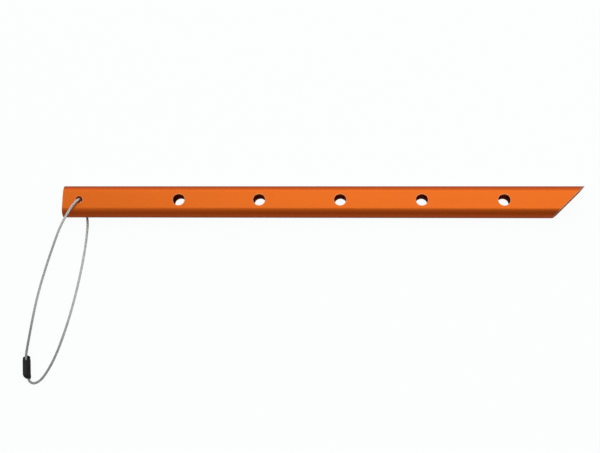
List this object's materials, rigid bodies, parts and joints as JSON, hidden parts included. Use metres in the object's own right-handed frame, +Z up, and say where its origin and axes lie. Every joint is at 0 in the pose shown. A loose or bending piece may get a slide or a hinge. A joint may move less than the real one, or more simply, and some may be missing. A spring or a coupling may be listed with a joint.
{
  "type": "snow stake",
  "caption": "Hollow flat-oval metal snow stake with a slanting point, a row of clip-in holes and a wire-rope carrying loop through its head.",
  "frame": {"origin": "middle of the tube, halfway along it, across it and through its depth", "axes": "+X along the stake from the square-cut head to the point, +Y across its width to the side where the point is longest, +Z up out of the flat side that it shows as it lies"},
  "size_m": [0.5304, 0.1921, 0.0222],
  "materials": {
    "orange_anodised_aluminium": "satin orange anodising over the extruded surface, with fine lines along the tube",
    "galvanised_wire_rope": "bright twisted steel wires, slightly dulled",
    "pressed_aluminium": "plain pressed metal with shallow die marks",
    "black_heat_shrink": "soft black polyolefin, satin, slightly wrinkled at its ends"
  },
  "bodies": {
    "stake": {"stake_tube": "orange_anodised_aluminium"},
    "rope_loop": {"wire_rope": "galvanised_wire_rope", "ferrule": "pressed_aluminium", "heat_shrink_sleeve": "black_heat_shrink"}
  },
  "joints": [
    {"name": "loop_swing", "type": "hinge", "parent": "stake", "child": "rope_loop", "pos_m": [-0.2338, 0, 0], "axis": [0, 0, 1], "range_deg": [-210, 70]}
  ]
}
